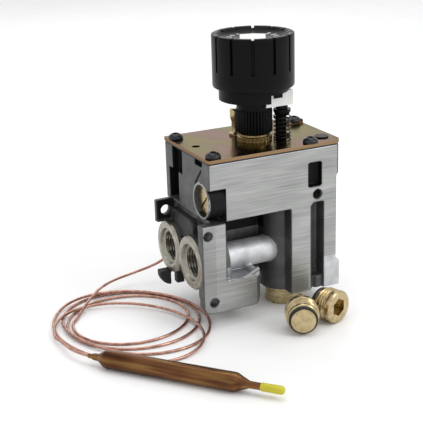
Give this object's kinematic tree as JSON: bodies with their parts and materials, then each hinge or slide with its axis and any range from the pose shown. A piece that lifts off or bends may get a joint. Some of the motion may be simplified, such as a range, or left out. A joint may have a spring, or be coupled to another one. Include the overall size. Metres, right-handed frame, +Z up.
{
  "type": "gas control valve",
  "caption": "Thermostatic gas control valve with push-and-turn knob, side threaded ports, pilot safety unit, and a sensing bulb on a coiled copper capillary.",
  "frame": {"origin": "centre of the gas inlet bore where its thread starts", "axes": "-X out of the gas ports, -Y out of the machined front face, +Z up along the knob's axis"},
  "size_m": [0.1812, 0.1879, 0.1736],
  "materials": {
    "cast_aluminium": "machined front, as-cast sides",
    "gasket_fibre": "matt",
    "zinc_passivated_steel": "yellow iridescent passivation",
    "blackened_steel": "black oxide",
    "black_plastic": "satin moulded",
    "white_plastic": "satin moulded",
    "brass": "turned",
    "steel": "turned or pressed",
    "spring_steel": "oiled spring wire",
    "copper": "drawn tube",
    "bulb_copper": "heat-tinted tube",
    "yellow_dip": "dipped",
    "rubber": "moulded",
    "aluminium_sheet": "pressed"
  },
  "bodies": {
    "casting": {"valve_body": "cast_aluminium", "cover_gasket": "gasket_fibre", "cover_plate": "zinc_passivated_steel", "cover_screws": "blackened_steel", "earth_tab": "zinc_passivated_steel", "blanking_cap": "black_plastic", "guide_pillar": "brass", "spindle_bush": "brass", "return_spring": "spring_steel", "magnet_nut": "brass", "magnet_can": "steel", "magnet_winding": "copper", "magnet_core": "steel", "safety_spring": "spring_steel", "bellows_capsule": "steel", "capsule_bracket": "steel", "lever_bracket": "steel", "lever_pin": "steel", "main_valve_seat": "brass", "main_valve_spring": "spring_steel", "inlet_strainer": "steel", "regulator_spring": "spring_steel", "pilot_fitting": "brass", "capillary_gland": "brass", "capillary_coil": "copper", "capillary_lead": "copper", "capillary_tail": "copper", "sensor_bulb": "bulb_copper", "bulb_tip": "yellow_dip"},
    "press_carriage": {"press_skirt": "black_plastic", "press_carrier": "white_plastic", "push_stem": "black_plastic"},
    "knob_assembly": {"knob": "black_plastic", "knob_insert": "white_plastic"},
    "spindle_assembly": {"spindle": "steel", "spline_hub": "black_plastic"},
    "safety_valve": {"safety_armature": "steel", "safety_disc": "rubber"},
    "lever": {"thermostat_lever": "steel"},
    "capsule_stud": {"bellows_stud": "brass"},
    "main_valve": {"main_valve_disc": "rubber"},
    "regulator_adjuster": {"regulator_screw": "brass"},
    "regulator_valve": {"regulator_diaphragm": "aluminium_sheet"},
    "pilot_adjuster": {"pilot_screw": "brass"},
    "loose_plug_a": {"port_plug_a": "brass", "plug_ring_a": "rubber"},
    "loose_plug_b": {"port_plug_b": "brass", "plug_ring_b": "rubber"}
  },
  "joints": [
    {"name": "knob_press", "type": "slide", "parent": "casting", "child": "press_carriage", "axis": [0, 0, -1], "range_m": [0, 0.0055], "stiffness_N_per_m": 900, "springref_m": -0.004, "deforming": ["return_spring"]},
    {"name": "knob_turn", "type": "hinge", "parent": "press_carriage", "child": "knob_assembly", "pos_m": [0.0504, 0.011, 0.103], "axis": [0, 0, 1], "range_deg": [0, 270]},
    {"name": "spindle_turn", "type": "hinge", "parent": "casting", "child": "spindle_assembly", "pos_m": [0.0504, 0.011, 0.083], "axis": [0, 0, 1], "range_deg": [0, 270]},
    {"name": "safety_valve_lift", "type": "slide", "parent": "casting", "child": "safety_valve", "axis": [0, 0, -1], "range_m": [0, 0.0055], "deforming": ["safety_spring"]},
    {"name": "lever_tilt", "type": "hinge", "parent": "casting", "child": "lever", "pos_m": [0.0264, 0.011, 0.0465], "axis": [0, 1, 0], "range_deg": [0, 5.1], "stiffness_Nm_per_rad": 0.4, "springref_deg": -2.86},
    {"name": "capsule_stroke", "type": "slide", "parent": "casting", "child": "capsule_stud", "axis": [0, 0, -1], "range_m": [0, 0.00215]},
    {"name": "main_valve_lift", "type": "slide", "parent": "casting", "child": "main_valve", "axis": [0, 0, -1], "range_m": [0, 0.0018], "deforming": ["main_valve_spring"]},
    {"name": "regulator_screw_turn", "type": "hinge", "parent": "casting", "child": "regulator_adjuster", "pos_m": [0.0104, -0.0081, 0.0413], "axis": [-1, 0, 0], "range_deg": [-360, 360]},
    {"name": "regulator_lift", "type": "slide", "parent": "casting", "child": "regulator_valve", "axis": [1, 0, 0], "range_m": [0, 0.0012], "stiffness_N_per_m": 400, "springref_m": -0.001},
    {"name": "pilot_screw_turn", "type": "hinge", "parent": "casting", "child": "pilot_adjuster", "pos_m": [0.0779, -0.014, 0.0362], "axis": [0, -1, 0], "range_deg": [-360, 360]},
    {"name": "loose_plug_a_lift", "type": "slide", "parent": "casting", "child": "loose_plug_a", "axis": [0, 0, 1], "range_m": [0, 0.06]},
    {"name": "loose_plug_b_lift", "type": "slide", "parent": "casting", "child": "loose_plug_b", "axis": [0, 0, 1], "range_m": [0, 0.06]}
  ],
  "couplings": [
    {"joint": "spindle_turn", "follows": "knob_turn", "ratio": 1},
    {"joint": "safety_valve_lift", "follows": "knob_press", "ratio": 1},
    {"joint": "capsule_stroke", "follows": "lever_tilt", "m_per_rad": 0.024},
    {"joint": "main_valve_lift", "follows": "lever_tilt", "m_per_rad": 0.02}
  ]
}
